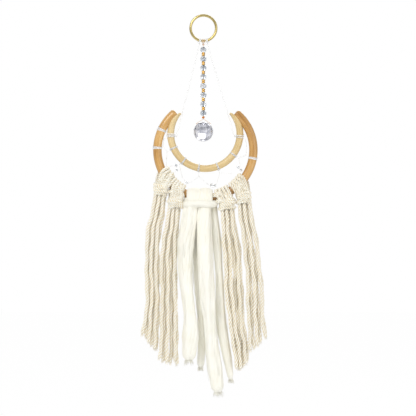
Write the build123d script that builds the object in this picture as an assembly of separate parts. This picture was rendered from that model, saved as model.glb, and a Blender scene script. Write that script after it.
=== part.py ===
from build123d import *
import math
import os

# Crescent dream catcher, hung from a brass ring. Millimetres; the object hangs in the XZ plane,
# its front faces -Y, +Z is up, and the origin is the inside top of the ring, where a nail carries it.

# Ring
ring_inner_diameter = 23.0
ring_wire = 2.6

# Cane frame: two bent canes that meet at the horns
outer_cane_radius = 48.0
outer_cane_diameter = 8.6
outer_cane_centre = (2.0, -133.3)
outer_cane_ends = (128.0, 411.0)
inner_cane_radius = 34.6
inner_cane_diameter = 7.0
inner_cane_centre = (1.9, -117.3)
inner_cane_ends = (140.0, 400.0)
cane_end_rounding = 2.6
brad_diameter = 1.0
brad_angles = (137.0, 402.0)
brad_reach = 7.2
brad_inset = 0.2

# Cords and threads
suspension_cord = 1.2
cotton_cord = 3.5
strand_thread = 0.6
web_thread = 0.5
wrap_thickness = 0.6
layer_step = 4.0
roving_wide = 13.0
roving_narrow = 8.0
outer_wrap_half_angle = 1.6
inner_wrap_half_angle = 2.4
knot_radius = 6.0
roving_radius = 10.3
roving_knot_ends = (-18.4, 11.0)

# Bead strand
strand_hitch_cord = 1.0
top_knot_radius = 1.1
top_knot_drop = 2.2
link_drop = 3.4
end_knot_radius = 1.3
end_knot_drop = 1.6
ball_drop = 4.2
loop_reach = 7.4
first_crystal_z = -33.0
crystal_count = 8
crystal_diameter = 6.2
crystal_height = 5.4
bead_pitch = 9.07
gold_bead_diameter = 3.6
gold_bead_height = 1.75
bead_bore = 1.1
ball_diameter = 19.8
ball_hole_depth = 1.6
ball_hole = 1.1
crystal_sides = 8
gold_sides = 16
ball_sides = 14
web_bead_sides = 10
web_bead_diameter = 2.8
web_bead_length = 2.4
large_web_bead_diameter = 4.0
large_web_bead_length = 5.6

# Clearances
snug = 0.05
soft_gap = 0.3
thread_gap = 0.2
loop_gap = 0.5
web_thread_trim = 0.35
room_side = 9.0

# Worked out
ring_radius = (ring_inner_diameter + ring_wire) / 2
ring_centre_z = -ring_inner_diameter / 2
ring_bottom_z = ring_centre_z - ring_radius
outer_wall = outer_cane_diameter / 2
inner_wall = inner_cane_diameter / 2
strand_top_z = first_crystal_z + crystal_height / 2 + soft_gap
last_crystal_z = first_crystal_z - (crystal_count - 1) * bead_pitch
strand_knot_z = last_crystal_z - crystal_height / 2 - end_knot_drop
ball_z = strand_knot_z - ball_drop - ball_diameter / 2
ball_hole_z = ball_z + ball_diameter / 2 - ball_hole_depth

os.makedirs("parts", exist_ok=True)


def save(name, *solids):
    """Write one node as a group of its solids."""
    export_step(Compound(children=list(solids)), f"parts/{name}.step")


def arc_point(centre, radius, angle):
    """A point on a cane's centre line, by its angle seen from the front."""
    turn = math.radians(angle)
    return Vector(centre[0] + radius * math.cos(turn), 0, centre[1] + radius * math.sin(turn))


def arc_tube(centre, radius, start, end, outside, inside=0.0):
    """A bar, or a sleeve, bent along part of a cane's circle."""
    plane = Plane((centre[0], 0, centre[1]), x_dir=(1, 0, 0), z_dir=(0, -1, 0))
    path = Edge.make_circle(radius, plane=plane, start_angle=start, end_angle=end)
    section = Circle(outside)
    if inside:
        section = section - Circle(inside)
    return sweep(Plane(origin=path @ 0, z_dir=path % 0) * section, path=path).solid()


def turn_round(point, tangent, bore, thickness):
    """One tight turn of cord round a bar at a point."""
    half = thickness / 2
    return (Plane(origin=point, z_dir=tangent) * Torus(bore + snug + half, half)).solid()


def straight(a, b, diameter, trim=0.0):
    """A taut length between two points, shortened by trim at both ends."""
    a = Vector(a)
    b = Vector(b)
    way = (b - a).normalized()
    length = (b - a).length - 2 * trim
    plane = Plane(origin=a + way * trim, z_dir=way)
    return (plane * Cylinder(diameter / 2, length, align=(Align.CENTER, Align.CENTER, Align.MIN))).solid()


def cord_tube(points, diameter):
    """A hanging cord: straight runs joined by the largest tangent arcs that they allow."""
    points = [Vector(p) for p in points]
    radii = []
    for a, b, c in zip(points, points[1:], points[2:]):
        shorter = min((b - a).length, (c - b).length)
        half_turn = math.radians((b - a).get_angle(c - b)) / 2
        radii.append(0.45 * shorter / math.tan(half_turn))
    path = FilletPolyline(*points, radius=radii)
    tube = sweep(Plane(origin=path @ 0, z_dir=path % 0) * Circle(diameter / 2), path=path).solid()
    length = sum(edge.length for edge in path.edges())
    share = tube.volume / (math.pi * diameter**2 / 4 * length)
    print("cord", round(length, 1), "tightest radius", round(min(radii), 1), "volume share", round(share, 4))
    return tube


def facets(diameter, height, sides, profile):
    """A cut glass shape: flat facets between rings; profile gives (height share, width share)."""
    rings = []
    for up, out in profile:
        polygon = RegularPolygon(out * diameter / 2, sides)
        rings.append(Plane.XY.offset(up * height / 2) * polygon)
    return loft(rings, ruled=True).solid()


def placed(solid, x, z):
    return Pos(x, 0, z) * solid


# Ring
ring = Pos(0, 0, ring_centre_z) * Rot(90, 0, 0) * Torus(ring_radius, ring_wire / 2)
save("hanging_ring", ring.solid())

# Cane frame
outer_cane = arc_tube(outer_cane_centre, outer_cane_radius, *outer_cane_ends, outer_wall)
end_edges = outer_cane.edges().filter_by(GeomType.CIRCLE).sort_by(Axis.Z)[-2:]
outer_cane = fillet(end_edges, cane_end_rounding).solid()
inner_cane = arc_tube(inner_cane_centre, inner_cane_radius, *inner_cane_ends, inner_wall)
cope = arc_tube(outer_cane_centre, outer_cane_radius, 110.0, 430.0, outer_wall + snug)
inner_cane = (inner_cane - cope).solids().sort_by(SortBy.VOLUME)[-1]
brads = []
for angle in brad_angles:
    seat = arc_point(outer_cane_centre, outer_cane_radius, angle)
    inward = (arc_point(inner_cane_centre, 0, 0) - seat).normalized()
    brad = straight(seat - inward * (outer_wall - brad_inset), seat + inward * brad_reach, brad_diameter)
    brads.append(brad)
    outer_cane = (outer_cane - brad).solid()
    inner_cane = (inner_cane - brad).solid()
save("outer_cane", outer_cane)
save("inner_cane", inner_cane)
save("horn_brads", *brads)

# Suspension cord: hitched round the ring, taut legs, tied round the inner cane
hitch_angles = {"left": (256.5, 250.8), "right": (283.5, 289.2)}
hitches = []
for angles in hitch_angles.values():
    for angle in angles:
        at = arc_point((0, ring_centre_z), ring_radius, angle)
        along = (math.cos(math.radians(angle + 90)), 0, math.sin(math.radians(angle + 90)))
        hitches.append(turn_round(at, along, ring_wire / 2, suspension_cord))
save("suspension_hitches", *hitches)
leg_tops = {"left": (-3.9, 0, -27.0), "right": (3.9, 0, -27.0)}
leg_ends = {"left": (-26.9, 0, -119.5), "right": (30.9, 0, -119.4)}
leg_wraps = {"left": (180.0, 186.0), "right": (353.0, 359.5)}
for side in ("left", "right"):
    save(f"suspension_leg_{side}", straight(leg_tops[side], leg_ends[side], suspension_cord))
    wrap = arc_tube(inner_cane_centre, inner_cane_radius, *leg_wraps[side],
                    inner_wall + suspension_cord, inner_wall + snug)
    save(f"leg_tie_{side}", wrap)

# Bead strand
strand_hitch = turn_round((0, 0, ring_bottom_z), (1, 0, 0), ring_wire / 2, strand_hitch_cord)
wire_under_z = ring_bottom_z - ring_wire / 2
save("strand_top_knot", strand_hitch, placed(Sphere(top_knot_radius), 0, wire_under_z - top_knot_drop).solid())
link_ends = (wire_under_z - link_drop, strand_top_z + thread_gap)
save("strand_link", straight((0, 0, link_ends[0]), (0, 0, link_ends[1]), strand_thread))
thread_end_z = strand_knot_z + end_knot_radius + thread_gap
save("strand_thread", straight((0, 0, strand_top_z), (0, 0, thread_end_z), strand_thread))
crystal_profile = ((-1, 0.5), (-0.55, 0.86), (0, 1), (0.55, 0.86), (1, 0.5))
gold_profile = ((-1, 0.62), (-0.6, 0.92), (0, 1), (0.6, 0.92), (1, 0.62))
crystal = facets(crystal_diameter, crystal_height, crystal_sides, crystal_profile)
crystal = crystal - Cylinder(bead_bore / 2, crystal_height)
gold = facets(gold_bead_diameter, gold_bead_height, gold_sides, gold_profile)
gold = gold - Cylinder(bead_bore / 2, gold_bead_height)
for i in range(crystal_count):
    z = first_crystal_z - i * bead_pitch
    save(f"crystal_bead_{i + 1}", placed(crystal, 0, z).solid())
    if i < crystal_count - 1:
        middle = z - bead_pitch / 2
        offset = (gold_bead_height + snug) / 2
        pair = [placed(gold, 0, middle + offset).solid(), placed(gold, 0, middle - offset).solid()]
        save(f"gold_beads_{i + 1}", *pair)
save("strand_end_knot", placed(Sphere(end_knot_radius), 0, strand_knot_z).solid())

# Cut glass ball on its thread loop
ball_profile = tuple(
    (math.sin(math.radians(a)), math.cos(math.radians(a))) for a in (-78, -58, -36, -12, 12, 36, 58, 78)
)
ball = facets(ball_diameter, ball_diameter, ball_sides, ball_profile)
hole = Pos(0, 0, ball_diameter / 2 - ball_hole_depth - strand_thread) * Rot(0, 90, 0)
ball = placed(ball - hole * Cylinder(ball_hole / 2, ball_diameter), 0, ball_z).solid()
save("crystal_ball", ball)
loop_z = ball_hole_z - strand_thread
loop_top = (0, 0, strand_knot_z - end_knot_radius - loop_gap)
loop = straight((-loop_reach, 0, loop_z), (loop_reach, 0, loop_z), strand_thread)
for side in (-1, 1):
    loop = loop + straight((side * loop_reach, 0, loop_z), loop_top, strand_thread)
    loop = loop + placed(Sphere(strand_thread / 2), side * loop_reach, loop_z)
save("ball_loop", loop.solid())

# Web: thread wraps on the canes, taut runs between them, and its beads
outer_wraps = []
for angle in (155.5, 177.6, 350.2):
    ends = (angle - outer_wrap_half_angle, angle + outer_wrap_half_angle)
    outer_wraps.append(arc_tube(outer_cane_centre, outer_cane_radius, *ends,
                                outer_wall + wrap_thickness, outer_wall + snug))
save("web_wraps_outer", *outer_wraps)
inner_wraps = []
for angle in (204.1, 231.5, 259.2, 290.9, 323.7):
    ends = (angle - inner_wrap_half_angle, angle + inner_wrap_half_angle)
    inner_wraps.append(arc_tube(inner_cane_centre, inner_cane_radius, *ends,
                                inner_wall + wrap_thickness, inner_wall + snug))
save("web_wraps_inner", *inner_wraps)
web_runs = [
    ((-38.2, -121.2), (-39.6, -122.4), (-40.3, -128.9), (-36.3, -135.3), (-36.9, -141.3), (-37.2, -150.4)),
    ((-36.3, -149.7), (-28.6, -149.2)),
    ((-27.1, -149.8), (-26.9, -152.4)),
    ((35.5, -151.3), (36.7, -152.7)),
    ((-23.8, -147.8), (-23.2, -152.6), (-21.1, -160.3), (-18.2, -165.0)),
    ((-15.0, -166.2), (-11.8, -165.2), (-4.4, -159.6), (4.1, -167.2), (6.2, -168.2)),
    ((13.0, -167.6), (16.3, -156.5), (28.6, -156.6)),
    ((36.6, -150.0), (35.4, -141.3), (33.4, -140.2)),
    ((35.6, -141.0), (42.6, -138.6), (43.1, -129.6), (42.0, -122.4)),
]
runs = []
for route in web_runs:
    for a, b in zip(route, route[1:]):
        runs.append(straight((a[0], 0, a[1]), (b[0], 0, b[1]), web_thread, web_thread_trim))
save("web_thread", *runs)
web_beads = {
    "web_bead_1": ((-27.2, -148.6), 0.0),
    "web_bead_2": ((-26.8, -153.6), 20.0),
    "web_bead_3": ((-16.6, -166.1), 10.0),
    "web_bead_5": ((34.6, -150.6), 60.0),
    "web_bead_6": ((37.6, -153.4), 45.0),
}
bead_profile = ((-1, 0.55), (-0.5, 0.93), (0, 1), (0.5, 0.93), (1, 0.55))


def web_bead(diameter, length, at, tilt):
    """A glass bead whose bore lies in the web's plane, tilted from the horizontal."""
    bead = facets(diameter, length, web_bead_sides, bead_profile) - Cylinder(bead_bore / 2, length)
    return (Pos(at[0], 0, at[1]) * Rot(0, 90 - tilt, 0) * bead).solid()


for name, (at, tilt) in web_beads.items():
    save(name, web_bead(web_bead_diameter, web_bead_length, at, tilt))
save("web_bead_4", web_bead(large_web_bead_diameter, large_web_bead_length, (9.6, -168.6), 0.0))

# Cotton tassels: a hitch round the outer cane and cords that hang from it in three layers.
# A cord is its layer, its X at each level, and its lower end; the first level is the hitch's knot.
tassels = {
    "left_outer": {
        "hitch": (206.0, 221.5), "knot": (-49.4, -36.2),
        "levels": (-171.5, -192, -214, -240, -272, -302),
        "cords": [
            (-1, (-47.2, -49.9, -55.6, -57.1, -55.9, -57.0), (-60.5, -317)),
            (-1, (-43.4, -45.6, -51.0, -52.6, -51.3, -52.6), (-55.2, -325)),
            (-1, (-39.6, -41.2, -46.0, -47.8, -46.6, -47.4), (-49.0, -331)),
            (0, (-46.0, -48.2, -53.6, -55.0, -53.4, -54.8), (-57.8, -321)),
            (0, (-42.0, -43.6, -48.6, -50.6, -49.2, -50.4), (-52.2, -328)),
            (0, (-38.2, -39.6, -44.0, -46.4, -45.0, -45.8), (-46.9, -332)),
            (1, (-44.8, -46.6, -52.2, -54.4, -54.2, -55.6), (-57.0, -316)),
            (1, (-40.6, -42.0, -47.0, -49.2, -47.6, -48.8), (-50.2, -322)),
        ],
    },
    "left_inner": {
        "hitch": (230.0, 239.0), "knot": (-35.4, -19.6),
        "levels": (-184.5, -203, -224, -250, -284, -316),
        "cords": [
            (-1, (-33.4, -34.8, -40.4, -42.2, -41.0, -41.6), (-43.6, -341)),
            (-1, (-29.6, -30.8, -34.8, -36.0, -35.2, -35.6), (-36.6, -345)),
            (-1, (-25.8, -27.0, -28.6, -29.2, -28.4, -28.0), (-28.6, -343)),
            (0, (-32.0, -33.2, -38.0, -39.4, -38.2, -38.8), (-40.2, -344)),
            (0, (-28.0, -29.3, -32.2, -33.0, -32.2, -32.1), (-32.6, -346)),
            (0, (-24.0, -25.3, -27.8, -28.4, -27.6, -27.2), (-26.4, -347)),
            (1, (-31.0, -32.6, -36.6, -37.6, -36.6, -37.2), (-38.0, -338)),
            (1, (-27.0, -28.4, -30.6, -31.4, -30.4, -30.6), (-31.4, -340)),
        ],
    },
    "right_inner": {
        "hitch": (284.5, 296.0), "knot": (15.5, 31.3),
        "levels": (-186, -204, -228, -258, -290, -322),
        "cords": [
            (-1, (18.4, 19.4, 21.0, 22.4, 24.0, 29.8), (33.0, -350)),
            (-1, (22.4, 23.5, 26.2, 27.6, 28.8, 34.2), (37.2, -351)),
            (-1, (27.0, 28.8, 33.2, 35.2, 36.0, 39.8), (42.2, -346)),
            (0, (20.4, 21.2, 23.6, 25.0, 26.4, 32.0), (35.2, -352)),
            (0, (24.4, 25.6, 29.6, 31.4, 32.2, 37.0), (39.6, -349)),
            (0, (28.6, 30.4, 35.4, 37.6, 38.6, 41.6), (44.0, -343)),
            (1, (19.4, 20.3, 22.4, 23.6, 25.2, 31.0), (34.0, -345)),
            (1, (26.0, 27.2, 31.4, 33.4, 34.2, 38.4), (40.8, -341)),
        ],
    },
    "right_outer": {
        "hitch": (309.0, 324.0), "knot": (33.4, 47.6),
        "levels": (-179.5, -198, -220, -248, -278, -306),
        "cords": [
            (-1, (35.8, 36.6, 39.8, 43.6, 44.4, 45.4), (47.0, -333)),
            (-1, (40.0, 41.6, 45.6, 49.6, 51.4, 52.1), (53.8, -328)),
            (-1, (44.8, 47.2, 51.6, 55.4, 58.4, 58.8), (61.4, -320)),
            (0, (37.6, 38.6, 42.4, 46.4, 47.8, 48.6), (50.2, -331)),
            (0, (41.6, 43.4, 47.6, 51.8, 54.6, 55.2), (57.4, -325)),
            (0, (45.6, 48.0, 52.4, 56.2, 58.8, 59.4), (62.0, -317)),
            (1, (36.8, 37.6, 41.2, 45.0, 46.0, 47.2), (48.8, -327)),
            (1, (41.0, 43.0, 47.0, 51.0, 53.0, 53.6), (55.6, -322)),
        ],
    },
}
for name, tassel in tassels.items():
    axis_z = tassel["levels"][0]
    low_x, high_x = tassel["knot"]
    sleeve = arc_tube(outer_cane_centre, outer_cane_radius, *tassel["hitch"], outer_wall + cotton_cord)
    knot = straight((low_x, 0, axis_z), (high_x, 0, axis_z), 2 * knot_radius)
    hitch = (sleeve + knot - cope).solids().sort_by(SortBy.VOLUME)[-1]
    save(f"tassel_hitch_{name}", hitch)
    room = straight((low_x - room_side, 0, axis_z), (high_x + room_side, 0, axis_z), 2 * (knot_radius + soft_gap))
    tails = []
    for layer, across, end in tassel["cords"]:
        y = layer * layer_step
        route = [(x, y, z) for x, z in zip(across, tassel["levels"])]
        route.append((end[0], y, end[1]))
        tube = cord_tube(route, cotton_cord) - room
        tails.append(tube.solids().sort_by(SortBy.VOLUME)[-1])
    save(f"tassel_tails_{name}", *tails)

# Wool roving: one fat hitch round the outer cane and its tails
roving_z = outer_cane_centre[1] - outer_cane_radius
roving_knot = straight((roving_knot_ends[0], 0, roving_z), (roving_knot_ends[1], 0, roving_z), 2 * roving_radius)
save("roving_hitch", (roving_knot - cope).solid())
rovings = {
    "roving_tail_1": (roving_wide, [
        (-11.9, -3.3, roving_z), (-13.6, -3.3, -203), (-17.6, -3.3, -226), (-18.2, -3.4, -250),
        (-16.2, -3.3, -276), (-13.0, -3.2, -300), (-12.8, -3.2, -322), (-14.8, -3.2, -343)]),
    "roving_tail_2": (roving_wide, [
        (1.4, -3.3, roving_z), (0.8, -3.3, -203), (1.2, -3.4, -226), (2.2, -3.3, -252),
        (3.2, -3.3, -278), (6.6, -3.3, -304), (8.6, -3.3, -330), (12.0, -3.3, -354), (14.6, -3.3, -375)]),
    "roving_tail_3": (roving_narrow, [
        (9.0, 4.6, roving_z), (10.2, 4.7, -203), (14.0, 4.7, -226), (15.8, 4.8, -252),
        (16.6, 4.8, -278), (17.0, 4.8, -302), (21.0, 4.8, -325), (25.0, 4.8, -346), (27.4, 4.8, -364)]),
    "roving_tail_4": (roving_narrow, [
        (-5.3, 5.6, roving_z), (-6.2, 6.0, -203), (-6.8, 6.6, -226), (-5.6, 6.8, -250),
        (-4.2, 6.9, -276), (-1.6, 7.0, -302), (-1.2, 7.1, -328), (-2.8, 7.1, -352)]),
}
ends = (roving_knot_ends[0] - 2 * room_side, roving_knot_ends[1] + 2 * room_side)
room = straight((ends[0], 0, roving_z), (ends[1], 0, roving_z), 2 * (roving_radius + soft_gap))
for name, (width, route) in rovings.items():
    tube = cord_tube(route, width) - room
    save(name, tube.solids().sort_by(SortBy.VOLUME)[-1])
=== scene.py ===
import bpy
import math
import random
from mathutils import Matrix, Vector

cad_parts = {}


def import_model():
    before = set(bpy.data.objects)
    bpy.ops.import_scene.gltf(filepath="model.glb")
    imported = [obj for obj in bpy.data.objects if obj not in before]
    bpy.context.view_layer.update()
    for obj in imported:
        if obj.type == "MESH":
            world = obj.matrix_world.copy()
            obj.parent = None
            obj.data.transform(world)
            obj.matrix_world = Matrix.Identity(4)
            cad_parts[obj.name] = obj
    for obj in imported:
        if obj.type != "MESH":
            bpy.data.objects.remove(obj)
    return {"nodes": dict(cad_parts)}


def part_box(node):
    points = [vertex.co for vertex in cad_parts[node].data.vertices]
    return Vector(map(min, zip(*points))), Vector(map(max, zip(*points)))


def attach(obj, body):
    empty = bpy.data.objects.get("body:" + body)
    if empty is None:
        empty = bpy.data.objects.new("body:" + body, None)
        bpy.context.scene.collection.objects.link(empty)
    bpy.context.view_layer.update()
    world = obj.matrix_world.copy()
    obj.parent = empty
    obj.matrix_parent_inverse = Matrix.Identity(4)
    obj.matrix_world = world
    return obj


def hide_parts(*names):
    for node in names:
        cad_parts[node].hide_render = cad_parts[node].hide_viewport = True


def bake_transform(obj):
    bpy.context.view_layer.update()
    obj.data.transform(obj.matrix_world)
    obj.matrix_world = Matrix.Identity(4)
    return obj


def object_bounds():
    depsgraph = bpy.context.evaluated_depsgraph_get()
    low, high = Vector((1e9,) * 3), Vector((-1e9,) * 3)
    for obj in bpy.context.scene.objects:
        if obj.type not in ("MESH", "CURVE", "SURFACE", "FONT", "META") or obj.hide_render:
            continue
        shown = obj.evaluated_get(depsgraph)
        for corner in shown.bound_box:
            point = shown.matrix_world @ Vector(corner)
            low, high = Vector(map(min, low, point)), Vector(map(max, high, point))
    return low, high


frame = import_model()
cad_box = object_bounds()
NODES = frame["nodes"]
MM = 0.001
random.seed(7)

# Sizes that the construction model also holds, in millimetres
CANE_CENTRE = Vector((2.0, 0, -133.3))
CANE_RING = 48.0
CANE_WALL = 4.3
INNER_CENTRE = Vector((1.9, 0, -117.3))
INNER_RING = 34.6
INNER_WALL = 3.5
RING_BOTTOM = Vector((0, 0, -24.3))
RING_WIRE = 1.3
RING_RADIUS = 12.8
COTTON = 3.5
LAYER_STEP = 4.0
ROVING_WIDE = 13.0
ROVING_NARROW = 8.0

# Loose fibres, in millimetres, and steps of a turn, in radians
COTTON_FIBRE = 0.13
WOOL_FIBRE = 0.16
STRAY_FIBRE = 0.14
EIGHTH_TURN = 0.7854
TENTH_TURN = 0.6283
# A fibre's share of the grain that runs round a whole cord
FINE_GRAIN = 0.02


# ---------- camera, lamps and backdrop ----------

def camera():
    data = bpy.data.cameras.new("camera")
    data.lens = 135
    data.sensor_width = 36
    obj = bpy.data.objects.new("camera", data)
    bpy.context.scene.collection.objects.link(obj)
    middle = Vector((4.6, 0, -191.3)) * MM
    obj.location = middle + Vector((0, -0.416 * data.lens / data.sensor_width, 0))
    obj.rotation_euler = (math.radians(90), 0, 0)
    bpy.context.scene.camera = obj


def lamp(name, place, size, power, colour=(1, 1, 1)):
    data = bpy.data.lights.new(name, "AREA")
    data.size = size
    data.energy = power
    data.color = colour
    obj = bpy.data.objects.new(name, data)
    bpy.context.scene.collection.objects.link(obj)
    obj.location = place
    aim = Vector((0, 0, -0.19)) - Vector(place)
    obj.rotation_euler = aim.to_track_quat("-Z", "Y").to_euler()


def world():
    scene = bpy.context.scene
    scene.view_settings.view_transform = "Standard"
    scene.world = bpy.data.worlds.new("studio")
    scene.world.use_nodes = True
    tree = scene.world.node_tree
    tree.nodes.clear()
    out = tree.nodes.new("ShaderNodeOutputWorld")
    soft = tree.nodes.new("ShaderNodeBackground")
    soft.inputs[0].default_value = (1, 1, 1, 1)
    soft.inputs[1].default_value = 0.62
    white = tree.nodes.new("ShaderNodeBackground")
    white.inputs[0].default_value = (1, 1, 1, 1)
    white.inputs[1].default_value = 1.0
    path = tree.nodes.new("ShaderNodeLightPath")
    either = tree.nodes.new("ShaderNodeMath")
    either.operation = "MAXIMUM"
    mix = tree.nodes.new("ShaderNodeMixShader")
    tree.links.new(path.outputs["Is Camera Ray"], either.inputs[0])
    tree.links.new(path.outputs["Is Transmission Ray"], either.inputs[1])
    tree.links.new(either.outputs[0], mix.inputs[0])
    tree.links.new(soft.outputs[0], mix.inputs[1])
    tree.links.new(white.outputs[0], mix.inputs[2])
    tree.links.new(mix.outputs[0], out.inputs[0])


def floor():
    low = cad_box[0][2] - 0.12
    mesh = bpy.data.meshes.new("floor")
    mesh.from_pydata([(-3, -3, low), (3, -3, low), (3, 3, low), (-3, 3, low)], [], [(0, 1, 2, 3)])
    obj = bpy.data.objects.new("floor", mesh)
    bpy.context.scene.collection.objects.link(obj)
    mat, tree, shader = blank("floor_white")
    shader.inputs["Base Color"].default_value = (0.92, 0.92, 0.92, 1)
    shader.inputs["Roughness"].default_value = 0.9
    white = tree.nodes.new("ShaderNodeEmission")
    path = tree.nodes.new("ShaderNodeLightPath")
    mix = tree.nodes.new("ShaderNodeMixShader")
    seen = tree.nodes.new("ShaderNodeMath")
    seen.operation = "MULTIPLY"
    seen.inputs[1].default_value = 0.985
    tree.links.new(path.outputs["Is Camera Ray"], seen.inputs[0])
    tree.links.new(seen.outputs[0], mix.inputs[0])
    tree.links.new(shader.outputs[0], mix.inputs[1])
    tree.links.new(white.outputs[0], mix.inputs[2])
    tree.links.new(mix.outputs[0], tree.nodes["Material Output"].inputs[0])
    obj.data.materials.append(mat)


# ---------- materials ----------

def blank(name):
    mat = bpy.data.materials.new(name)
    mat.use_nodes = True
    tree = mat.node_tree
    return mat, tree, tree.nodes["Principled BSDF"]


def noise(tree, vector, scale, detail=4.0, rough=0.55):
    node = tree.nodes.new("ShaderNodeTexNoise")
    node.inputs["Scale"].default_value = scale
    node.inputs["Detail"].default_value = detail
    node.inputs["Roughness"].default_value = rough
    tree.links.new(vector, node.inputs["Vector"])
    return node.outputs["Fac"]


def ramp(tree, value, stops):
    node = tree.nodes.new("ShaderNodeValToRGB")
    line = node.color_ramp
    for at, colour in stops[2:]:
        line.elements.new(at)
    for element, (at, colour) in zip(line.elements, sorted(stops)):
        element.position = at
        element.color = (*colour, 1)
    tree.links.new(value, node.inputs[0])
    return node.outputs[0]


def bump(tree, shader, height, strength, distance):
    node = tree.nodes.new("ShaderNodeBump")
    node.inputs["Strength"].default_value = strength
    node.inputs["Distance"].default_value = distance
    tree.links.new(height, node.inputs["Height"])
    tree.links.new(node.outputs[0], shader.inputs["Normal"])


def place_of(tree):
    return tree.nodes.new("ShaderNodeTexCoord").outputs["Object"]


def spread(tree, value, low, high):
    node = tree.nodes.new("ShaderNodeMapRange")
    node.inputs["To Min"].default_value = low
    node.inputs["To Max"].default_value = high
    tree.links.new(value, node.inputs["Value"])
    return node.outputs[0]


def cane_material(name, centre, stops, rough, bump_height):
    """Bent cane: its grain runs along the bend, so it is drawn by radius and depth, less by angle."""
    mat, tree, shader = blank(name)
    shift = tree.nodes.new("ShaderNodeVectorMath")
    shift.operation = "SUBTRACT"
    shift.inputs[1].default_value = centre * MM
    tree.links.new(place_of(tree), shift.inputs[0])
    parts = tree.nodes.new("ShaderNodeSeparateXYZ")
    tree.links.new(shift.outputs[0], parts.inputs[0])
    flat = tree.nodes.new("ShaderNodeCombineXYZ")
    tree.links.new(parts.outputs[0], flat.inputs[0])
    tree.links.new(parts.outputs[2], flat.inputs[1])
    size = tree.nodes.new("ShaderNodeVectorMath")
    size.operation = "LENGTH"
    tree.links.new(flat.outputs[0], size.inputs[0])
    turn = tree.nodes.new("ShaderNodeMath")
    turn.operation = "ARCTAN2"
    tree.links.new(parts.outputs[2], turn.inputs[0])
    tree.links.new(parts.outputs[0], turn.inputs[1])
    along = tree.nodes.new("ShaderNodeMath")
    along.operation = "MULTIPLY"
    along.inputs[1].default_value = 0.004
    tree.links.new(turn.outputs[0], along.inputs[0])
    grain = tree.nodes.new("ShaderNodeCombineXYZ")
    tree.links.new(size.outputs["Value"], grain.inputs[0])
    tree.links.new(parts.outputs[1], grain.inputs[1])
    tree.links.new(along.outputs[0], grain.inputs[2])
    streak = noise(tree, grain.outputs[0], 420, 6, 0.6)
    patch = noise(tree, place_of(tree), 17, 3, 0.5)
    both = tree.nodes.new("ShaderNodeMath")
    both.operation = "MULTIPLY_ADD"
    both.inputs[1].default_value = 0.55
    tree.links.new(streak, both.inputs[0])
    scaled = spread(tree, patch, -0.10, 0.55)
    tree.links.new(scaled, both.inputs[2])
    tree.links.new(ramp(tree, both.outputs[0], stops), shader.inputs["Base Color"])
    tree.links.new(spread(tree, streak, rough, rough + 0.16), shader.inputs["Roughness"])
    bump(tree, shader, streak, 0.5, bump_height)
    shader.inputs["Coat Weight"].default_value = 0.35
    shader.inputs["Coat Roughness"].default_value = 0.15
    return mat


def metal_material(name, stops, rough):
    mat, tree, shader = blank(name)
    spots = noise(tree, place_of(tree), 70, 4, 0.5)
    tree.links.new(ramp(tree, spots, stops), shader.inputs["Base Color"])
    tree.links.new(spread(tree, spots, rough, rough + 0.14), shader.inputs["Roughness"])
    shader.inputs["Metallic"].default_value = 1.0
    bump(tree, shader, noise(tree, place_of(tree), 900, 2, 0.5), 0.12, 0.00004)
    return mat


def glass_material(name, stops, rough, clear):
    """Cut glass: mostly clear, with a slight tint that varies from facet to facet."""
    mat, tree, shader = blank(name)
    tint = noise(tree, place_of(tree), 210, 2, 0.4)
    tree.links.new(ramp(tree, tint, stops), shader.inputs["Base Color"])
    tree.links.new(spread(tree, tint, rough, rough + 0.04), shader.inputs["Roughness"])
    shader.inputs["Transmission Weight"].default_value = clear
    shader.inputs["IOR"].default_value = 1.55
    return mat


def tinted(tree, share, colour, tint):
    """The colour, multiplied by a tint as far as share says."""
    mix = tree.nodes.new("ShaderNodeMix")
    mix.data_type = "RGBA"
    mix.blend_type = "MULTIPLY"
    tree.links.new(share, mix.inputs["Factor"])
    tree.links.new(colour, mix.inputs["A"])
    mix.inputs["B"].default_value = (*tint, 1)
    return mix.outputs["Result"]


def groove_shade(tree, uv, plies, tint, colour):
    """Painted shade: darkens the valleys between twisted plies, which lie between the lobes round the U way.
    """
    parts = tree.nodes.new("ShaderNodeSeparateXYZ")
    tree.links.new(uv, parts.inputs[0])
    turns = tree.nodes.new("ShaderNodeMath")
    turns.operation = "MULTIPLY"
    turns.inputs[1].default_value = 2 * math.pi * plies
    tree.links.new(parts.outputs[0], turns.inputs[0])
    wave = tree.nodes.new("ShaderNodeMath")
    wave.operation = "COSINE"
    tree.links.new(turns.outputs[0], wave.inputs[0])
    valley = tree.nodes.new("ShaderNodeMapRange")
    valley.inputs["From Min"].default_value = -0.45
    valley.inputs["From Max"].default_value = -1.0
    tree.links.new(wave.outputs[0], valley.inputs["Value"])
    return tinted(tree, valley.outputs[0], colour, tint)


def side_shade(tree, tint, colour):
    """Painted shade: darkens and warms the two sides of hanging cords, where neighbours lie against each
    other.
    """
    shape = tree.nodes.new("ShaderNodeNewGeometry")
    parts = tree.nodes.new("ShaderNodeSeparateXYZ")
    tree.links.new(shape.outputs["Normal"], parts.inputs[0])
    size = tree.nodes.new("ShaderNodeMath")
    size.operation = "ABSOLUTE"
    tree.links.new(parts.outputs[0], size.inputs[0])
    side = tree.nodes.new("ShaderNodeMapRange")
    side.inputs["From Min"].default_value = 0.5
    side.inputs["From Max"].default_value = 1.0
    tree.links.new(size.outputs[0], side.inputs["Value"])
    return tinted(tree, side.outputs[0], colour, tint)


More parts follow.
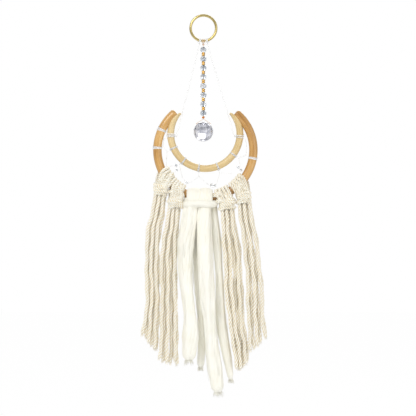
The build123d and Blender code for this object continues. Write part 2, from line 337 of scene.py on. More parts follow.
def fibre_material(name, stops, scale, strength, distance, sheen=0.2, plies=0, tint=(1, 1, 1)):
    """Spun fibre: fine streaks along each yarn, which is the V way of its surface."""
    mat, tree, shader = blank(name)
    uv = tree.nodes.new("ShaderNodeUVMap")
    uv.uv_map = "yarn"
    stretch = tree.nodes.new("ShaderNodeMapping")
    stretch.inputs["Scale"].default_value = scale
    tree.links.new(uv.outputs[0], stretch.inputs["Vector"])
    fibre = noise(tree, stretch.outputs[0], 1.0, 5, 0.65)
    patch = noise(tree, place_of(tree), 55, 3, 0.5)
    both = tree.nodes.new("ShaderNodeMath")
    both.operation = "MULTIPLY_ADD"
    both.inputs[1].default_value = 0.5
    tree.links.new(fibre, both.inputs[0])
    tree.links.new(spread(tree, patch, 0.0, 0.5), both.inputs[2])
    colour = ramp(tree, both.outputs[0], stops)
    # With plies, painted shade darkens the ply valleys and the two sides of each cord
    if plies:
        colour = groove_shade(tree, uv.outputs[0], plies, tint, colour)
        # Painted shade: the tan that the sides of the cords are darkened to
        colour = side_shade(tree, (0.88, 0.74, 0.48), colour)
    tree.links.new(colour, shader.inputs["Base Color"])
    tree.links.new(spread(tree, fibre, 0.82, 0.96), shader.inputs["Roughness"])
    shader.inputs["Specular IOR Level"].default_value = 0.2
    shader.inputs["Sheen Weight"].default_value = sheen
    shader.inputs["Sheen Roughness"].default_value = 0.5
    bump(tree, shader, fibre, strength, distance)
    return mat


MATS = {}


def make_materials():
    MATS["brown"] = cane_material("cane_brown", CANE_CENTRE, [
        (0.22, (0.22, 0.09, 0.02)), (0.78, (0.86, 0.60, 0.27)),
        (0.42, (0.46, 0.235, 0.06)), (0.58, (0.66, 0.39, 0.13))], 0.2, 0.00012)
    MATS["straw"] = cane_material("cane_straw", INNER_CENTRE, [
        (0.25, (0.50, 0.33, 0.13)), (0.75, (0.80, 0.66, 0.40)),
        (0.42, (0.66, 0.49, 0.23)), (0.58, (0.74, 0.58, 0.31))], 0.42, 0.0002)
    MATS["brass"] = metal_material("ring_brass", [(0.3, (0.46, 0.36, 0.13)), (0.7, (0.66, 0.54, 0.24))], 0.14)
    MATS["gold"] = metal_material("seed_gold", [(0.3, (0.58, 0.34, 0.09)), (0.7, (0.80, 0.54, 0.20))], 0.16)
    MATS["steel"] = metal_material("brad_steel", [(0.3, (0.4, 0.4, 0.4)), (0.7, (0.6, 0.6, 0.6))], 0.3)
    crystal = [(0.42, (0.42, 0.47, 0.53)), (0.62, (0.93, 0.95, 0.98))]
    MATS["crystal"] = glass_material("bead_crystal", crystal, 0.0, 0.9)
    ball = [(0.40, (0.40, 0.41, 0.47)), (0.62, (0.92, 0.92, 0.97))]
    MATS["ball"] = glass_material("ball_crystal", ball, 0.0, 0.9)
    web_glass = [(0.4, (0.72, 0.74, 0.76)), (0.65, (0.95, 0.96, 0.97))]
    MATS["web_glass"] = glass_material("web_glass", web_glass, 0.03, 0.85)
    cotton = [(0.15, (0.92, 0.86, 0.68)), (0.7, (0.99, 0.985, 0.94)), (0.42, (0.98, 0.96, 0.87))]
    # Painted shade: the tan that the valleys between the cotton's plies are darkened to
    ply_valley_shade = (0.86, 0.73, 0.47)
    MATS["cotton"] = fibre_material("cotton_cord", cotton, (26, 2.2, 1), 0.55, 0.0003, 0.3, 3, ply_valley_shade)
    wool = [(0.15, (0.84, 0.79, 0.58)), (0.7, (0.96, 0.95, 0.89)), (0.42, (0.92, 0.90, 0.80))]
    MATS["wool"] = fibre_material("wool_roving", wool, (34, 1.2, 1), 0.8, 0.0007, 0.35)
    white = [(0.2, (0.95, 0.95, 0.94)), (0.75, (0.99, 0.99, 0.99))]
    MATS["white"] = fibre_material("white_thread", white, (10, 4, 1), 0.25, 0.00006, 0.4)
    peach = [(0.2, (0.74, 0.48, 0.30)), (0.75, (0.93, 0.72, 0.55))]
    MATS["peach"] = fibre_material("peach_thread", peach, (10, 4, 1), 0.4, 0.0001)
    orange = [(0.2, (0.62, 0.17, 0.02)), (0.75, (0.86, 0.34, 0.06))]
    MATS["orange"] = fibre_material("orange_thread", orange, (10, 4, 1), 0.4, 0.0001)


# ---------- cords and yarns ----------

def line_of(points, steps=14, closed=False):
    """The points along a smooth NURBS line through a route's control points, in millimetres."""
    curve = bpy.data.curves.new("line", "CURVE")
    curve.dimensions = "3D"
    curve.resolution_u = steps
    spline = curve.splines.new("NURBS")
    spline.points.add(len(points) - 1)
    for target, p in zip(spline.points, points):
        target.co = (p[0], p[1], p[2], 1)
    spline.order_u = 3
    spline.use_endpoint_u = not closed
    spline.use_cyclic_u = closed
    holder = bpy.data.objects.new("line", curve)
    bpy.context.scene.collection.objects.link(holder)
    mesh = bpy.data.meshes.new_from_object(holder)
    found = [v.co.copy() for v in mesh.vertices]
    bpy.data.objects.remove(holder)
    bpy.data.curves.remove(curve)
    bpy.data.meshes.remove(mesh)
    return found


def even(points, step):
    """The same line with points a step apart."""
    out = [points[0].copy()]
    left = step
    for a, b in zip(points, points[1:]):
        gap = (b - a).length
        while gap > left:
            a = a + (b - a) * (left / gap)
            out.append(a.copy())
            gap = (b - a).length
            left = step
        left -= gap
    if (out[-1] - points[-1]).length > step * 0.2:
        out.append(points[-1].copy())
    return out


def lobed(plies, angle):
    """How far the outline of twisted round plies lies from the middle, as a share of the cord."""
    if plies < 2:
        return 1.0
    ply = {2: 0.5, 3: 0.464, 4: 0.414}[plies]
    off = 1 - ply
    sector = 2 * math.pi / plies
    bend = (angle + sector / 2) % sector - sector / 2
    under = ply * ply - (off * math.sin(bend)) ** 2
    return off * math.cos(bend) + math.sqrt(max(under, 0.0))


class Yarn:
    """Gathers tubes of spun yarn into one mesh."""

    def __init__(self):
        self.verts = []
        self.faces = []
        self.uvs = []

    def tube(self, points, radius, plies=1, pitch=9.0, sides=12, swell=None, turn=0.0,
             closed=False, grain=1.0):
        base = len(self.verts)
        count = len(points)
        side = None
        travelled = 0.0
        for i, p in enumerate(points):
            if closed:
                ahead = points[(i + 1) % count] - points[i - 1]
            else:
                ahead = points[min(i + 1, count - 1)] - points[max(i - 1, 0)]
            ahead.normalize()
            if side is None:
                side = ahead.orthogonal().normalized()
            side = (side - ahead * side.dot(ahead)).normalized()
            other = ahead.cross(side)
            if i:
                travelled += (p - points[i - 1]).length
            twist = turn + 2 * math.pi * travelled / pitch
            share = i / max(count - 1, 1)
            for k in range(sides):
                angle = 2 * math.pi * k / sides
                reach = radius * lobed(plies, angle)
                if swell:
                    reach *= swell(share, angle)
                way = side * math.cos(angle + twist) + other * math.sin(angle + twist)
                self.verts.append((p + way * reach) * MM)
        rows = count if closed else count - 1
        for i in range(rows):
            for k in range(sides):
                a = base + i * sides + k
                b = base + i * sides + (k + 1) % sides
                c = base + ((i + 1) % count) * sides + (k + 1) % sides
                d = base + ((i + 1) % count) * sides + k
                self.faces.append((a, b, c, d))
                low = i * travelled / count / 10
                high = (i + 1) * travelled / count / 10
                near, far = grain * k / sides, grain * (k + 1) / sides
                self.uvs.append(((near, low), (far, low), (far, high), (near, high)))
        if not closed:
            for ring, flip in ((0, True), (count - 1, False)):
                loop = [base + ring * sides + k for k in range(sides)]
                self.faces.append(tuple(reversed(loop)) if flip else tuple(loop))
                self.uvs.append(tuple((0.5, 0.0) for _ in loop))

    def piece(self, name, material, body=None):
        mesh = bpy.data.meshes.new(name)
        mesh.from_pydata(self.verts, [], self.faces)
        layer = mesh.uv_layers.new(name="yarn")
        flat = []
        for face in self.uvs:
            for uv in face:
                flat.extend(uv)
        layer.data.foreach_set("uv", flat)
        mesh.materials.append(MATS[material])
        mesh.shade_smooth()
        mesh.update()
        obj = bpy.data.objects.new(name, mesh)
        bpy.context.scene.collection.objects.link(obj)
        if body:
            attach(obj, body)
        return obj


def fibre_taper(share, angle):
    return 1.0 - 0.75 * share


def wisps(yarn, at, way, count, spread_mm, length, radius):
    """Loose fibre ends that fan out from a cut end."""
    for _ in range(count):
        side = Vector((random.uniform(-1, 1), random.uniform(-1, 1), random.uniform(-0.4, 0.4)))
        start = at + side * spread_mm * 0.5
        reach = way * length * random.uniform(0.55, 1.0) + side * spread_mm * 0.45
        bow = Vector((random.uniform(-1, 1), random.uniform(-1, 1), 0)) * spread_mm * 0.18
        route = [start - way * 1.2, start + reach * 0.45 + bow, start + reach]
        yarn.tube(line_of(route, 4), radius, 1, 9, 4, fibre_taper, grain=FINE_GRAIN)


TASSELS = {
    "left_outer": {
        "levels": (-171.5, -192, -214, -240, -272, -302),
        "cords": [
            (-1, (-47.2, -49.9, -55.6, -57.1, -55.9, -57.0), (-60.5, -317)),
            (-1, (-43.4, -45.6, -51.0, -52.6, -51.3, -52.6), (-55.2, -325)),
            (-1, (-39.6, -41.2, -46.0, -47.8, -46.6, -47.4), (-49.0, -331)),
            (0, (-46.0, -48.2, -53.6, -55.0, -53.4, -54.8), (-57.8, -321)),
            (0, (-42.0, -43.6, -48.6, -50.6, -49.2, -50.4), (-52.2, -328)),
            (0, (-38.2, -39.6, -44.0, -46.4, -45.0, -45.8), (-46.9, -332)),
            (1, (-44.8, -46.6, -52.2, -54.4, -54.2, -55.6), (-57.0, -316)),
            (1, (-40.6, -42.0, -47.0, -49.2, -47.6, -48.8), (-50.2, -322)),
        ],
    },
    "left_inner": {
        "levels": (-184.5, -203, -224, -250, -284, -316),
        "cords": [
            (-1, (-33.4, -34.8, -40.4, -42.2, -41.0, -41.6), (-43.6, -341)),
            (-1, (-29.6, -30.8, -34.8, -36.0, -35.2, -35.6), (-36.6, -345)),
            (-1, (-25.8, -27.0, -28.6, -29.2, -28.4, -28.0), (-28.6, -343)),
            (0, (-32.0, -33.2, -38.0, -39.4, -38.2, -38.8), (-40.2, -344)),
            (0, (-28.0, -29.3, -32.2, -33.0, -32.2, -32.1), (-32.6, -346)),
            (0, (-24.0, -25.3, -27.8, -28.4, -27.6, -27.2), (-26.4, -347)),
            (1, (-31.0, -32.6, -36.6, -37.6, -36.6, -37.2), (-38.0, -338)),
            (1, (-27.0, -28.4, -30.6, -31.4, -30.4, -30.6), (-31.4, -340)),
        ],
    },
    "right_inner": {
        "levels": (-186, -204, -228, -258, -290, -322),
        "cords": [
            (-1, (18.4, 19.4, 21.0, 22.4, 24.0, 29.8), (33.0, -350)),
            (-1, (22.4, 23.5, 26.2, 27.6, 28.8, 34.2), (37.2, -351)),
            (-1, (27.0, 28.8, 33.2, 35.2, 36.0, 39.8), (42.2, -346)),
            (0, (20.4, 21.2, 23.6, 25.0, 26.4, 32.0), (35.2, -352)),
            (0, (24.4, 25.6, 29.6, 31.4, 32.2, 37.0), (39.6, -349)),
            (0, (28.6, 30.4, 35.4, 37.6, 38.6, 41.6), (44.0, -343)),
            (1, (19.4, 20.3, 22.4, 23.6, 25.2, 31.0), (34.0, -345)),
            (1, (26.0, 27.2, 31.4, 33.4, 34.2, 38.4), (40.8, -341)),
        ],
    },
    "right_outer": {
        "levels": (-179.5, -198, -220, -248, -278, -306),
        "cords": [
            (-1, (35.8, 36.6, 39.8, 43.6, 44.4, 45.4), (47.0, -333)),
            (-1, (40.0, 41.6, 45.6, 49.6, 51.4, 52.1), (53.8, -328)),
            (-1, (44.8, 47.2, 51.6, 55.4, 58.4, 58.8), (61.4, -320)),
            (0, (37.6, 38.6, 42.4, 46.4, 47.8, 48.6), (50.2, -331)),
            (0, (41.6, 43.4, 47.6, 51.8, 54.6, 55.2), (57.4, -325)),
            (0, (45.6, 48.0, 52.4, 56.2, 58.8, 59.4), (62.0, -317)),
            (1, (36.8, 37.6, 41.2, 45.0, 46.0, 47.2), (48.8, -327)),
            (1, (41.0, 43.0, 47.0, 51.0, 53.0, 53.6), (55.6, -322)),
        ],
    },
}


def tassel_tails(name, tassel):
    first = None
    for number, (layer, across, end) in enumerate(tassel["cords"]):
        y = layer * LAYER_STEP * 0.72
        route = [Vector((x, y, z)) for x, z in zip(across, tassel["levels"])]
        route.append(Vector((end[0], y, end[1])))
        route[0].z -= 1.5
        points = even(line_of(route), 0.7)
        phase = random.uniform(0, 6)
        for i, p in enumerate(points):
            wave = min(i / 40, 1.0)
            p.x += wave * (0.45 * math.sin(p.z / 7.5 + phase) + 0.35 * math.sin(p.z / 3.3 + phase * 3))
            p.y += wave * (0.45 * math.cos(p.z / 8.5 + phase * 2) + 0.25 * math.cos(p.z / 3.9 + phase * 5))
        yarn = Yarn()
        yarn.tube(points, COTTON * 0.57, 3, random.uniform(9.5, 12.0), 18, None, phase)
        way = (points[-1] - points[-4]).normalized()
        wisps(yarn, points[-1], way, 22, COTTON * 0.5, 2.9, COTTON_FIBRE)
        obj = yarn.piece(f"tail_{name}_{number + 1}", "cotton", None)
        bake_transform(obj)
        if first is None:
            first = obj
    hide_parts(f"tassel_tails_{name}")


ROVINGS = {
    "roving_tail_1": (ROVING_WIDE, [
        (-11.9, -3.3, -181.3), (-13.6, -3.3, -203), (-17.6, -3.3, -226), (-18.2, -3.4, -250),
        (-16.2, -3.3, -276), (-13.0, -3.2, -300), (-12.8, -3.2, -322), (-14.8, -3.2, -343)]),
    "roving_tail_2": (ROVING_WIDE, [
        (1.4, -3.3, -181.3), (0.8, -3.3, -203), (1.2, -3.4, -226), (2.2, -3.3, -252),
        (3.2, -3.3, -278), (6.6, -3.3, -304), (8.6, -3.3, -330), (12.0, -3.3, -354), (14.6, -3.3, -375)]),
    "roving_tail_3": (ROVING_NARROW, [
        (9.0, 4.6, -181.3), (10.2, 4.7, -203), (14.0, 4.7, -226), (15.8, 4.8, -252),
        (16.6, 4.8, -278), (17.0, 4.8, -302), (21.0, 4.8, -325), (25.0, 4.8, -346), (27.4, 4.8, -364)]),
    "roving_tail_4": (ROVING_NARROW, [
        (-5.3, 5.6, -181.3), (-6.2, 6.0, -203), (-6.8, 6.6, -226), (-5.6, 6.8, -250),
        (-4.2, 6.9, -276), (-1.6, 7.0, -302), (-1.2, 7.1, -328), (-2.8, 7.1, -352)]),
}
# How wide each strand of roving is from its hitch to its tip, as a share of its mean width
ROVING_SWELL = {
    "roving_tail_1": (1.0, 1.15, 1.26, 1.14, 0.95, 0.95, 1.3, 0.9),
    "roving_tail_2": (1.0, 1.14, 1.26, 1.22, 1.15, 0.9, 1.0, 1.28, 1.0),
    "roving_tail_3": (1.1, 1.25, 1.15, 1.0, 1.0, 1.1, 1.2, 1.2, 0.7),
    "roving_tail_4": (1.0, 1.1, 1.1, 1.1, 1.0, 0.95, 1.0, 0.9),
}


def roving_tail(name, width, route):
    points = even(line_of([Vector(p) for p in route]), 1.0)
    widths = ROVING_SWELL[name]
    phase = random.uniform(0, 6)
    folds = [(random.randint(2, 5), random.uniform(0, 6), random.uniform(2, 5)) for _ in range(4)]

    def swell(share, angle):
        at = share * (len(widths) - 1)
        low = min(int(at), len(widths) - 2)
        size = widths[low] + (widths[low + 1] - widths[low]) * (at - low)
        groove = 0.0
        for lobes, offset, waves in folds:
            groove += 0.055 * math.sin(lobes * angle + offset + waves * share * 5)
        groove -= 0.06 * abs(math.sin(7 * angle + phase + 9 * share))
        tip = math.sqrt(max(0.3, 1.0 - max(0.0, (share - 0.965) / 0.035) ** 2))
        return size * (1 + groove) * tip

    yarn = Yarn()
    yarn.tube(points, width / 2, 1, 240, 72, swell, phase)
    way = (points[-1] - points[-5]).normalized()
    wisps(yarn, points[-1], way, 120, width * 0.46, width * 0.34, WOOL_FIBRE)
    last = len(points) - 1
    for _ in range(46):
        start = random.randint(6, last - 30)
        angle = random.uniform(0, 2 * math.pi)
        drift = random.uniform(-0.35, 0.35)
        strand = []
        for i in range(0, 25, 4):
            share = (start + i) / last
            lift = width / 2 * swell(share, angle + drift * i / 24) + 0.15 + 0.5 * math.sin(math.pi * i / 24)
            p = points[start + i]
            turn = angle + drift * i / 24
            strand.append(p + Vector((math.cos(turn), math.sin(turn), 0)) * lift)
        yarn.tube(line_of(strand, 3), STRAY_FIBRE, 1, 9, 4, grain=FINE_GRAIN)
    obj = yarn.piece(name + "_wool", "wool", None)
    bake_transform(obj)
    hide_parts(name)


# ---------- hitches ----------

def cane_frame(centre, ring, angle):
    turn = math.radians(angle)
    out = Vector((math.cos(turn), 0, math.sin(turn)))
    return centre + out * ring, out, Vector((-math.sin(turn), 0, math.cos(turn)))


def over_cane(angle, foot, reach, plump):
    """One fold of cord: up the front of the cane from its foot, over the top and down the back."""
    at, out, along = cane_frame(CANE_CENTRE, CANE_RING, angle)
    up = Vector((0, 0, 1))
    up = (up - along * up.dot(along)).normalized()
    front = Vector((0, -1, 0))
    hug = CANE_WALL + reach
    return [
        foot,
        (foot + at + front * (hug + plump)) / 2 + front * 1.2,
        at + front * (hug + plump),
        at + front * hug * 0.85 + up * hug * 0.85,
        at + up * (hug + 0.2),
        at - front * hug * 0.85 + up * hug * 0.85,
        at - front * hug,
        at - front * hug * 0.9 - up * hug * 0.9,
        foot - front * 2 * abs(foot.y) * 0.9,
    ]


HITCHES = {
    "left_outer": {"span": (206.0, 224.0), "folds": 5, "knot": (-48.8, -36.8), "z": -173.0, "lean": 1.6},
    "left_inner": {"span": (228.0, 239.5), "folds": 4, "knot": (-34.6, -20.6), "z": -186.0, "lean": 0.8},
    "right_inner": {"span": (285.0, 299.5), "folds": 4, "knot": (16.4, 30.4), "z": -187.5, "lean": -0.9},
    "right_outer": {"span": (306.5, 323.5), "folds": 5, "knot": (34.4, 46.8), "z": -181.0, "lean": -1.5},
}


def tassel_hitch(name, hitch):
    """Several cords folded over the cane together, with their bights across the front in a lump."""
    rng = random.Random(name)
    yarn = Yarn()
    low, high = hitch["knot"]
    start, end = hitch["span"]
    count = hitch["folds"]
    for i in range(count):
        share = (i + 0.5) / count
        angle = start + (end - start) * i / (count - 1)
        foot = Vector((low + (high - low) * share, -4.4, hitch["z"] + rng.uniform(-0.5, 1.5)))
        route = over_cane(angle, foot, COTTON * 0.5, 0.4 + 1.3 * (i % 2))
        yarn.tube(even(line_of(route, 10), 0.5), COTTON * 0.58, 3, rng.uniform(6.0, 7.4), 18, None, i * 1.3)
    for row in range(4):
        z = hitch["z"] + 3.4 - row * 2.5
        depth = (-7.6, -8.4, -7.8, -6.4)[row]
        tilt = hitch["lean"] * rng.uniform(0.4, 1.2)
        inset = rng.uniform(-0.5, 1.6)
        left = low + inset
        right = high - rng.uniform(-0.5, 1.6)
        route = [
            Vector((left + 2.0, 3.2, z + 1 + tilt)),
            Vector((left - 0.6, -1.0, z + tilt)),
            Vector((left + 0.8, depth + 1.8, z + tilt + rng.uniform(-0.6, 0.6))),
            Vector((left * 0.7 + right * 0.3, depth, z + rng.uniform(0.2, 1.6))),
            Vector((left * 0.3 + right * 0.7, depth - 0.3, z + rng.uniform(-0.8, 1.2))),
            Vector((right - 0.8, depth + 1.8, z - tilt + rng.uniform(-0.6, 0.6))),
            Vector((right + 0.6, -1.0, z - tilt)),
            Vector((right - 2.0, 3.2, z + 1 - tilt))]
        yarn.tube(even(line_of(route, 10), 0.5), COTTON * 0.56, 3, rng.uniform(6.0, 7.4), 18, None, row * 2.0)
    crest = cane_frame(CANE_CENTRE, CANE_RING, (start + end) / 2)[0]
    waist = Vector(((low + high) / 2, 0, hitch["z"] + 1.5))
    for k in range(9):
        share = (k + 0.5) / 9
        middle = waist.lerp(crest, share * 1.1)
        across = rng.uniform(-0.42, 0.42) * (high - low)
        middle += Vector((across, -CANE_WALL - COTTON * 0.9, rng.uniform(-1, 1)))
        turn = rng.uniform(-1.2, 1.2)
        half = Vector((math.cos(turn), 0, math.sin(turn))) * rng.uniform(2.4, 4.2)
        sag = Vector((-half.z, 0, half.x)) * rng.uniform(-0.5, 0.5)
        knob = [middle - half * 1.3 + Vector((0, 3.4, 0)), middle - half + Vector((0, 1.2, 0)), middle + sag,
                middle + half + Vector((0, 1.2, 0)), middle + half * 1.3 + Vector((0, 3.4, 0))]
        yarn.tube(even(line_of(knob, 10), 0.5), COTTON * 0.5, 3, rng.uniform(6.0, 7.4), 18, None, k * 1.1)
    for row, z in enumerate((hitch["z"] + 1.5, hitch["z"] - 1.8)):
        back = [
            Vector((low + 1, 4.6, z)),
            Vector(((low + high) / 2, 5.6, z + 0.8)),
            Vector((high - 1, 4.6, z))]
        yarn.tube(even(line_of(back, 10), 0.5), COTTON * 0.54, 3, 7.0, 18)
    obj = yarn.piece(f"hitch_{name}_cotton", "cotton", "crescent")
    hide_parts(f"tassel_hitch_{name}")


def soft_swell(seed, grooves, depth):
    rng = random.Random(seed)
    shift = rng.uniform(0, 6)

    def swell(share, angle):
        body = 1 + 0.05 * math.sin(2 * angle + 5 * share + shift)
        return body - depth * abs(math.sin(grooves * angle + shift + 4 * share))

    return swell


def roving_hitch():
    """Two fat folds of roving over the cane, with the bight across them in front."""
    yarn = Yarn()
    for i, x in enumerate((-9.3, 1.9)):
        base = Vector((x, 0, -181.3))
        hug = CANE_WALL + 2.6
        route = [
            base + Vector((0.6 - i, -4.6, -8.2)),
            base + Vector((0, -7.6, -3.4)),
            base + Vector((0, -hug - 0.8, 2.2)),
            base + Vector((0, -hug * 0.75, hug * 0.85)),
            base + Vector((0, 0, hug + 0.4)),
            base + Vector((0, hug * 0.75, hug * 0.85)),
            base + Vector((0, hug, 0)),
            base + Vector((0, 5.0, -8.5))]
        points = even(line_of(route, 12), 0.6)
        base_index = len(yarn.verts)
        yarn.tube(points, 3.7, 1, 400, 60, soft_swell(i + 3, 11, 0.06))
        for k in range(base_index, len(yarn.verts)):
            v = yarn.verts[k]
            yarn.verts[k] = Vector(((v.x - x * MM) * 1.98 + x * MM, v.y, v.z))
    bar = [Vector(p) for p in (
        (-14.5, 5.5, -184.5), (-19.2, 1.0, -186.6), (-16.2, -7.2, -187.6), (-9.5, -9.4, -186.9),
        (-3.8, -9.8, -186.4), (2.0, -9.4, -186.9), (8.8, -7.2, -187.6),
        (12.0, 1.0, -186.6), (7.5, 5.5, -184.5))]
    yarn.tube(even(line_of(bar, 12), 0.6), 3.9, 1, 160, 60, soft_swell(9, 11, 0.06))
    obj = yarn.piece("roving_hitch_wool", "wool", "crescent")
    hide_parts("roving_hitch")


# ---------- suspension cord, wraps and web ----------

LEGS = {
    "left": ((-3.9, 0, -27.0), (-26.9, 0, -119.5)),
    "right": ((3.9, 0, -27.0), (30.9, 0, -119.4)),
}


def coil_on(yarn, centre, ring, wall, start, end, turns, thread, plies=1, pitch=1.6):
    """Turns of thread round a cane, from one angle of its bend to another."""
    points = []
    steps = turns * 24
    for i in range(steps + 1):
        share = i / steps
        at, out, along = cane_frame(centre, ring, start + (end - start) * share)
        turn = 2 * math.pi * turns * share
        way = out * math.cos(turn) + Vector((0, -1, 0)) * math.sin(turn)
        points.append(at + way * (wall + thread * 0.5))
    yarn.tube(points, thread * 0.56, plies, pitch, 10)


def suspension():
    for side, (top, end) in LEGS.items():
        points = even(line_of([Vector(top), Vector(top).lerp(Vector(end), 0.5), Vector(end)]), 0.6)
        yarn = Yarn()
        yarn.tube(points, 0.62, 2, 3.4, 10)
        obj = yarn.piece(f"leg_{side}_cord", "white", "crescent")
        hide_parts(f"suspension_leg_{side}")
    for side, (start, end, turns) in {"left": (179.6, 186.4, 3), "right": (353.4, 359.2, 2)}.items():
        yarn = Yarn()
        coil_on(yarn, INNER_CENTRE, INNER_RING, INNER_WALL, start, end, turns, 1.1, 2, 3.4)
        foot = Vector(LEGS[side][1])
        sign = 1 if side == "left" else -1
        knot = [foot + Vector(p) for p in (
            (0, 0, 1.4), (sign * 0.6, -0.9, 0), (-sign * 1.0, -0.6, -0.7),
            (-sign * 0.6, 0.9, 0.2), (sign * 0.4, 0.3, 0.8))]
        yarn.tube(line_of(knot, 8), 0.55, 2, 3.4, 8)
        obj = yarn.piece(f"tie_{side}_cord", "white", "crescent")
        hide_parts(f"leg_tie_{side}")
    yarn = Yarn()
    ring_centre = Vector((0, 0, RING_BOTTOM.z + RING_RADIUS))
    for start, end in ((258.5, 249.0), (281.5, 291.0)):
        coil_on(yarn, ring_centre, RING_RADIUS, RING_WIRE, start, end, 2, 1.05, 2, 3.4)
        lean = -1 if start < 270 else 1
        bar = [Vector(p) for p in (
            (lean * 1.7, -1.9, -25.2), (lean * 3.2, -2.2, -26.3), (lean * 4.9, -1.2, -25.6),
            (lean * 3.9, 0, -27.2))]
        yarn.tube(line_of(bar, 8), 0.55, 2, 3.4, 8)
    obj = yarn.piece("ring_hitch_cord", "white", "ring_hitches")
    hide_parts("suspension_hitches")


WEB_RUNS = [
    ((-38.2, -121.2), (-39.6, -122.4), (-40.3, -128.9), (-36.3, -135.3), (-36.9, -141.3), (-37.2, -150.4)),
    ((-40.3, -128.9), (-42.0, -131.8)),
    ((-36.3, -135.3), (-33.2, -133.4)),
    ((-36.3, -149.7), (-28.6, -149.2)),
    ((-27.1, -149.8), (-26.9, -152.4)),
    ((35.5, -151.3), (36.7, -152.7)),
    ((-22.2, -144.6), (-23.8, -147.8), (-23.2, -152.6), (-21.1, -160.3), (-18.2, -165.0)),
    ((-15.0, -166.2), (-11.8, -165.2), (-4.4, -159.6), (4.1, -167.2), (6.2, -168.2)),
    ((-4.4, -159.6), (-4.6, -156.0)),
    ((13.0, -167.6), (16.3, -156.5), (28.6, -156.6)),
    ((16.3, -156.5), (14.9, -153.4)),
    ((36.6, -150.0), (35.4, -141.3), (33.4, -140.2)),
    ((35.6, -141.0), (42.6, -138.6), (43.1, -129.6), (42.0, -122.4)),
]


def web():
    yarn = Yarn()
    for route in WEB_RUNS:
        points = [Vector((x, 0, z)) for x, z in route]
        for a, b in zip(points, points[1:]):
            yarn.tube(even([a, b], 0.5), 0.3, 2, 1.6, 8)
        for p in points[1:-1]:
            knot = [
                p + Vector((0.45 * math.cos(t), 0.45 * math.sin(t * 2), 0.45 * math.sin(t)))
                for t in range(0, 8)]
            yarn.tube(line_of(knot, 4), 0.24, 2, 1.6, 6)
    obj = yarn.piece("web_threads", "white", "crescent")
    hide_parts("web_thread")
    yarn = Yarn()
    for angle, lean in ((155.5, 2.2), (177.6, 1.6), (350.2, -1.6)):
        coil_on(yarn, CANE_CENTRE, CANE_RING, CANE_WALL, angle - 1.4, angle + 1.4, 4, 0.5)
        coil_on(yarn, CANE_CENTRE, CANE_RING, CANE_WALL + 0.1, angle + lean, angle - lean, 1, 0.5)
    obj = yarn.piece("wraps_outer", "white", "crescent")
    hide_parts("web_wraps_outer")
    yarn = Yarn()
    for angle in (204.1, 231.5, 259.2, 290.9, 323.7):
        coil_on(yarn, INNER_CENTRE, INNER_RING, INNER_WALL, angle - 1.2, angle + 1.2, 3, 0.62)
        coil_on(yarn, INNER_CENTRE, INNER_RING, INNER_WALL + 0.1, angle + 1.8, angle - 1.6, 1, 0.5)
    obj = yarn.piece("wraps_inner", "white", "crescent")
    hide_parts("web_wraps_inner")


# ---------- bead strand ----------

def knot_ball(name, centre, radius, material, body, node, extra=None):
    """A small overhand knot: thread wound over itself in three directions."""
    yarn = Yarn()
    for k in range(4):
        turn = Matrix.Rotation(k * 0.8, 3, "Z") @ Matrix.Rotation(0.6 + k * 0.7, 3, "X")
        loop = []
        for t in range(8):
            angle = t * EIGHTH_TURN
            loop.append(centre + turn @ Vector((math.cos(angle), math.sin(angle), 0)) * radius * 0.72)
        yarn.tube(line_of(loop, 5, True), radius * 0.34, 2, 2.2, 8, closed=True)
    if extra:
        extra(yarn)
    obj = yarn.piece(name, material, body)
    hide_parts(node)
    return obj


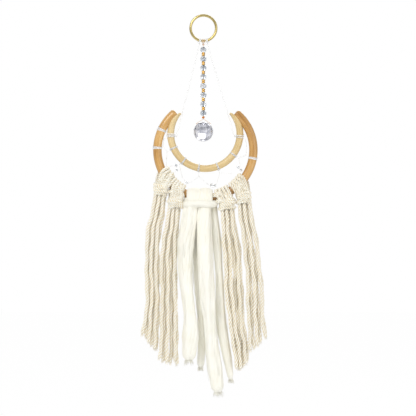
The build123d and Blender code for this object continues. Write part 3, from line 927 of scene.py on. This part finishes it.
def bead_strand():
    def hitch_turns(yarn):
        for x in (-0.9, 0.9):
            ring = []
            for t in range(10):
                turn = t * TENTH_TURN
                ring.append(RING_BOTTOM + Vector((x * 0.75, math.cos(turn) * 1.75, math.sin(turn) * 1.75)))
            yarn.tube(line_of(ring, 5, True), 0.42, 2, 2.2, 8, closed=True)

    knot_ball("ring_knot_thread", Vector((0, 0, -27.7)), 1.25, "peach", "strand_knot",
              "strand_top_knot", hitch_turns)
    for name, node, body, top, low in (
            ("link_thread", "strand_link", "strand_knot", -28.6, -30.2),
            ("core_thread", "strand_thread", "bead_strand", -29.9, -98.6)):
        yarn = Yarn()
        yarn.tube(even([Vector((0, 0, top)), Vector((0, 0, low))], 0.3), 0.3, 2, 1.8, 8)
        obj = yarn.piece(name, "peach", body)
        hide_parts(node)
    knot_ball("end_knot_thread", Vector((0, 0, -100.8)), 1.45, "orange", "bead_strand",
              "strand_end_knot")
    low, high = [Vector(c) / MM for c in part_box("ball_loop")]
    yarn = Yarn()
    loop = [
        Vector((low.x + 0.3, 0, low.z + 0.35)),
        Vector((low.x * 0.5, 0, (low.z + high.z) / 2 + 0.3)),
        Vector((0, 0, high.z)),
        Vector((high.x * 0.5, 0, (low.z + high.z) / 2 + 0.3)),
        Vector((high.x - 0.3, 0, low.z + 0.35))]
    yarn.tube(even([loop[0], loop[1], loop[2]], 0.3), 0.27, 2, 1.6, 8)
    yarn.tube(even([loop[4], loop[3], loop[2]], 0.3), 0.27, 2, 1.6, 8)
    yarn.tube(even([loop[0], loop[4]], 0.3), 0.27, 2, 1.6, 8)
    obj = yarn.piece("ball_loop_thread", "peach", "ball_loop")
    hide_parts("ball_loop")


def finish_cad():
    table = {
        "hanging_ring": "brass",
        "outer_cane": "brown",
        "inner_cane": "straw",
        "horn_brads": "steel",
        "crystal_ball": "ball",
    }
    for name, obj in NODES.items():
        key = table.get(name)
        if name.startswith("crystal_bead"):
            key = "crystal"
        if name.startswith("gold_beads"):
            key = "gold"
        if name.startswith("web_bead"):
            key = "web_glass"
        if key:
            obj.data.materials.clear()
            obj.data.materials.append(MATS[key])


camera()
world()
floor()
lamp("key", (-0.55, -1.0, 0.6), 0.7, 8.0)
lamp("fill", (0.9, -0.9, -0.1), 1.0, 3.6)
lamp("rim", (0.2, 1.0, 0.6), 0.9, 6.0)
make_materials()
for tassel_name, tassel in TASSELS.items():
    tassel_tails(tassel_name, tassel)
for roving_name, (roving_width, roving_route) in ROVINGS.items():
    roving_tail(roving_name, roving_width, roving_route)
suspension()
for hitch_name, hitch in HITCHES.items():
    tassel_hitch(hitch_name, hitch)
roving_hitch()
web()
bead_strand()
finish_cad()
